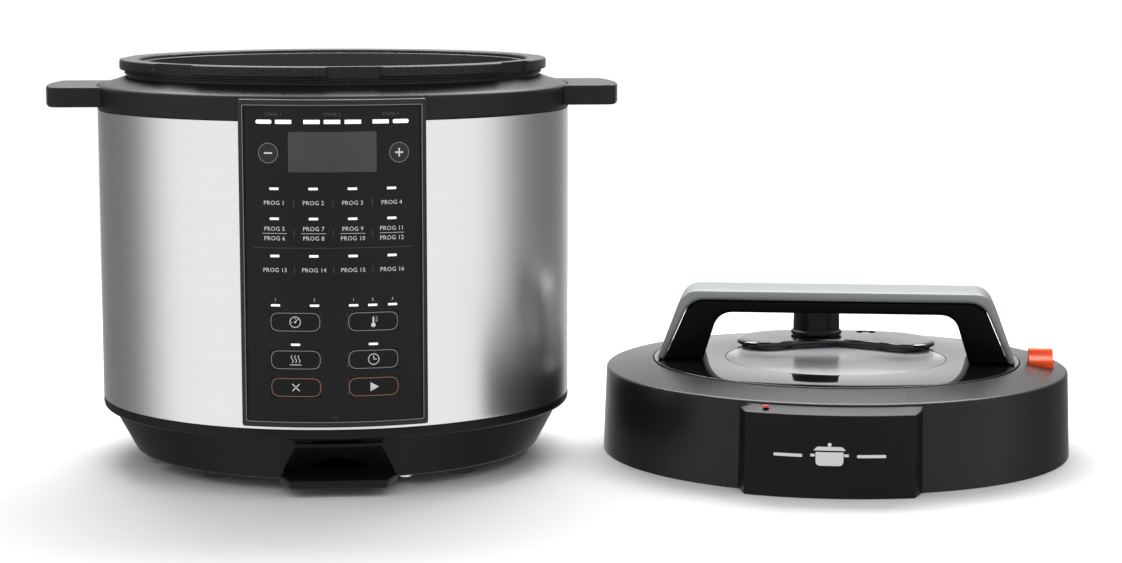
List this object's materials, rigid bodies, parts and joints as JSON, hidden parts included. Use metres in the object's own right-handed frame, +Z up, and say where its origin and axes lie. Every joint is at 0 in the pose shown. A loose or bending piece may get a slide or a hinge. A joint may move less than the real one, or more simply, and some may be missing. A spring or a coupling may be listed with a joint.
{
  "type": "electric pressure cooker",
  "caption": "Round steel electric pressure cooker with a curved front control panel, two side handles and a domed bayonet lid with an arched handle, shown open.",
  "frame": {"origin": "on the table, under the middle of the box that the cooker base and its lid take up together", "axes": "+X from the base towards the lid beside it, +Y from the front of the table towards the rear, +Z up. The base is turned 5 degrees about +Z, so that its control panel faces slightly right, and the lid is turned 6 degrees the other way"},
  "size_m": [0.6068, 0.3112, 0.236],
  "materials": {
    "steel_shell": "vertical-lit brushed steel, satin",
    "bright_steel": "fine satin steel",
    "black_plastic": "satin moulded black plastic",
    "ring_coating": "slightly speckled black powder coat",
    "panel_film": "smooth printed black film",
    "display": "smooth grey display window",
    "lid_plastic": "satin anthracite plastic",
    "gloss_black": "mirror-gloss black plastic",
    "silver_trim": "satin silver",
    "orange_plastic": "satin orange plastic",
    "silicone": "translucent white silicone",
    "rubber": "matt black rubber",
    "circuit_board": "green circuit board",
    "cast_aluminium": "plain aluminium",
    "pot_coating": "dark non-stick coating",
    "clear_plastic": "clear moulded plastic"
  },
  "bodies": {
    "base": {"steel_shell": "steel_shell", "top_collar": "black_plastic", "handle_right": "black_plastic", "handle_left": "black_plastic", "lock_ring": "ring_coating", "base_housing": "black_plastic", "bottom_plate": "black_plastic", "bottom_screw_1": "bright_steel", "bottom_screw_2": "bright_steel", "bottom_screw_3": "bright_steel", "bottom_screw_4": "bright_steel", "foot_1": "rubber", "foot_2": "rubber", "foot_3": "rubber", "foot_4": "rubber", "heating_chamber": "cast_aluminium", "heating_plate": "cast_aluminium", "sensor_spring": "bright_steel", "thermal_fuse": "silicone", "pressure_switch": "black_plastic", "power_board": "circuit_board", "power_inlet": "black_plastic", "control_board": "circuit_board", "panel_bezel": "black_plastic", "panel_overlay": "panel_film", "display_window": "display", "collector_bracket": "black_plastic"},
    "pot": {"inner_pot": "pot_coating"},
    "sensor": {"sensor_cap": "bright_steel"},
    "collector": {"condensation_collector": "clear_plastic"},
    "minus_key": {"key_minus": "panel_film"},
    "plus_key": {"key_plus": "panel_film"},
    "pressure_key": {"key_pressure": "panel_film"},
    "temp_key": {"key_temp": "panel_film"},
    "keep_warm_key": {"key_keep_warm": "panel_film"},
    "delay_key": {"key_delay": "panel_film"},
    "cancel_key": {"key_cancel": "panel_film"},
    "start_key": {"key_start": "panel_film"},
    "lid_pivot": {"centre_ball": "bright_steel"},
    "lid_seal": {"sealing_ring": "silicone"},
    "lid": {"lid_shell": "lid_plastic", "front_badge": "lid_plastic", "lock_indicator": "orange_plastic", "lid_top_panel": "gloss_black", "lid_disc": "lid_plastic", "valve_shield": "gloss_black", "handle_trim": "silver_trim", "handle_core": "black_plastic", "lid_plate": "bright_steel", "ring_rack": "bright_steel", "anti_block_shield": "bright_steel", "steam_pipe": "bright_steel", "button_spring": "bright_steel", "lever_pin": "bright_steel", "lever_bracket": "bright_steel"},
    "valve": {"steam_valve": "black_plastic"},
    "float": {"float_valve": "bright_steel", "float_seal": "silicone"},
    "button": {"release_button": "orange_plastic"},
    "lever": {"release_lever": "bright_steel"}
  },
  "joints": [
    {"name": "lid_carry", "type": "hinge", "parent": "base", "child": "lid_pivot", "pos_m": [0.09614, -0.00486, 0.2563], "axis": [-0.04, 0.9992, 0], "range_deg": [-253.11, 0]},
    {"name": "lid_level", "type": "hinge", "parent": "lid_pivot", "child": "lid_seal", "pos_m": [0.1636, -0.00216, 0.034], "axis": [-0.04, 0.9992, 0], "range_deg": [0, 253.3]},
    {"name": "lid_turn", "type": "hinge", "parent": "lid_seal", "child": "lid", "pos_m": [0.1636, -0.00216, 0.034], "axis": [0, 0, 1], "range_deg": [0, 11]},
    {"name": "pot_lift", "type": "slide", "parent": "base", "child": "pot", "axis": [0, 0, 1], "range_m": [0, 0.2]},
    {"name": "collector_pull", "type": "slide", "parent": "base", "child": "collector", "axis": [-0.0872, 0.9962, 0], "range_m": [0, 0.05]},
    {"name": "float_rise", "type": "slide", "parent": "lid", "child": "float", "axis": [0, 0, 1], "range_m": [0, 0.004]},
    {"name": "press_release", "type": "slide", "parent": "lid", "child": "button", "axis": [0, 0, -1], "range_m": [0, 0.004], "stiffness_N_per_m": 600, "deforming": ["button_spring"]},
    {"name": "lever_tilt", "type": "hinge", "parent": "lid", "child": "lever", "pos_m": [0.20608, 0.02483, 0.0422], "axis": [0.5383, 0.8428, 0], "range_deg": [0, 3.1]},
    {"name": "valve_lift", "type": "slide", "parent": "lid", "child": "valve", "axis": [0, 0, 1], "range_m": [0, 0.0031]},
    {"name": "press_sensor", "type": "slide", "parent": "base", "child": "sensor", "axis": [0, 0, -1], "range_m": [0, 0.0015], "stiffness_N_per_m": 500, "deforming": ["sensor_spring"]},
    {"name": "press_minus", "type": "slide", "parent": "base", "child": "minus_key", "axis": [0.1715, 0.9852, 0], "range_m": [0, 0.0004], "stiffness_N_per_m": 1500},
    {"name": "press_plus", "type": "slide", "parent": "base", "child": "plus_key", "axis": [-0.3292, 0.9442, 0], "range_m": [0, 0.0004], "stiffness_N_per_m": 1500},
    {"name": "press_pressure", "type": "slide", "parent": "base", "child": "pressure_key", "axis": [0.0741, 0.9973, 0], "range_m": [0, 0.0004], "stiffness_N_per_m": 1500},
    {"name": "press_temp", "type": "slide", "parent": "base", "child": "temp_key", "axis": [-0.2254, 0.9743, 0], "range_m": [0, 0.0004], "stiffness_N_per_m": 1500},
    {"name": "press_keep_warm", "type": "slide", "parent": "base", "child": "keep_warm_key", "axis": [0.0741, 0.9973, 0], "range_m": [0, 0.0004], "stiffness_N_per_m": 1500},
    {"name": "press_delay", "type": "slide", "parent": "base", "child": "delay_key", "axis": [-0.2254, 0.9743, 0], "range_m": [0, 0.0004], "stiffness_N_per_m": 1500},
    {"name": "press_cancel", "type": "slide", "parent": "base", "child": "cancel_key", "axis": [0.0741, 0.9973, 0], "range_m": [0, 0.0004], "stiffness_N_per_m": 1500},
    {"name": "press_start", "type": "slide", "parent": "base", "child": "start_key", "axis": [-0.2254, 0.9743, 0], "range_m": [0, 0.0004], "stiffness_N_per_m": 1500}
  ],
  "couplings": [
    {"joint": "lid_level", "follows": "lid_carry", "ratio": -1},
    {"joint": "lever_tilt", "follows": "press_release", "rad_per_m": 13.044},
    {"joint": "valve_lift", "follows": "press_release", "ratio": 0.75}
  ]
}
